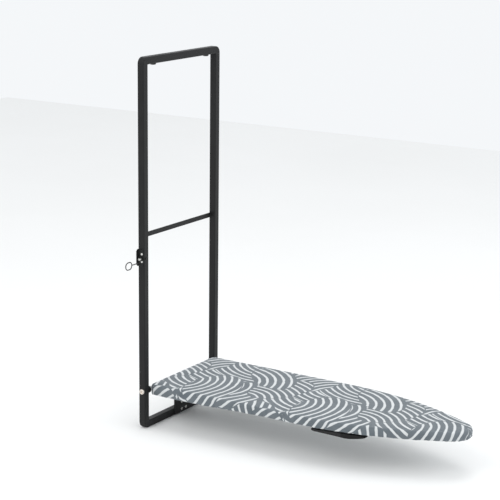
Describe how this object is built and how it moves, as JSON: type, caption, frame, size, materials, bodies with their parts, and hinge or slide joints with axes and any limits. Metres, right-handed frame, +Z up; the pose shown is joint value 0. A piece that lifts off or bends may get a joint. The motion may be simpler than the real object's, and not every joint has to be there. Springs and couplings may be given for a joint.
{
  "type": "fold-up ironing board",
  "caption": "Wall-frame ironing board: a padded tapered board hinged at the foot of a black square-tube frame folds up into it and is held by a sprung side pin.",
  "frame": {"origin": "centre of the four wall fixings, on the back plane of the frame", "axes": "+X out of the wall towards the board's nose, +Y towards the stile without the latch, +Z up"},
  "size_m": [0.9, 0.4351, 1.01],
  "materials": {
    "powder_black": "fine-textured satin black powder coat on steel tube",
    "blackened_steel": "black oxide on steel wire and turned steel",
    "zinc_steel": "bright zinc plate",
    "deck_enamel": "light grey enamel on perforated and folded steel sheet",
    "black_plastic": "matt moulded black plastic",
    "black_rubber": "matt black rubber",
    "foam": "thin off-white foam felt",
    "printed_cotton": "woven cotton, blue-grey with off-white hand-drawn stripe bundles",
    "cord": "off-white braided drawcord"
  },
  "bodies": {
    "frame": {"stile_left": "powder_black", "stile_right": "powder_black", "top_rail": "powder_black", "bottom_rail": "powder_black", "crossbar": "powder_black", "wall_inserts": "zinc_steel", "rail_plugs": "black_plastic", "pivot_bolts": "zinc_steel", "pivot_nuts": "zinc_steel", "support_bracket": "powder_black", "bracket_lug": "powder_black", "bracket_screws": "zinc_steel", "stop_pad": "black_rubber", "latch_plate": "powder_black", "latch_rivets": "zinc_steel", "latch_barrel": "blackened_steel", "latch_spring": "blackened_steel", "latch_side_screw": "blackened_steel"},
    "board": {"pivot_bushes": "black_plastic", "hinge_ear_left": "deck_enamel", "hinge_ear_right": "deck_enamel", "ear_rivets": "zinc_steel", "deck_panel": "deck_enamel", "side_rail_left": "deck_enamel", "side_rail_right": "deck_enamel", "nose_rail": "deck_enamel", "end_rail": "deck_enamel", "deck_ribs": "deck_enamel", "stop_bar": "deck_enamel", "foam_pad": "foam", "fabric_cover": "printed_cotton", "hem_cord": "cord", "handle_grip": "black_plastic", "handle_strap": "deck_enamel", "handle_screws": "zinc_steel"},
    "pin": {"latch_pin": "zinc_steel", "pull_wire": "blackened_steel"}
  },
  "joints": [
    {"name": "board_fold", "type": "hinge", "parent": "frame", "child": "board", "pos_m": [0.011, 0, -0.4], "axis": [0, -1, 0], "range_deg": [0, 88]},
    {"name": "latch_pull", "type": "slide", "parent": "frame", "child": "pin", "axis": [0, -1, 0], "range_m": [0, 0.0055], "stiffness_N_per_m": 700, "springref_m": -0.004, "deforming": ["latch_spring"]}
  ]
}
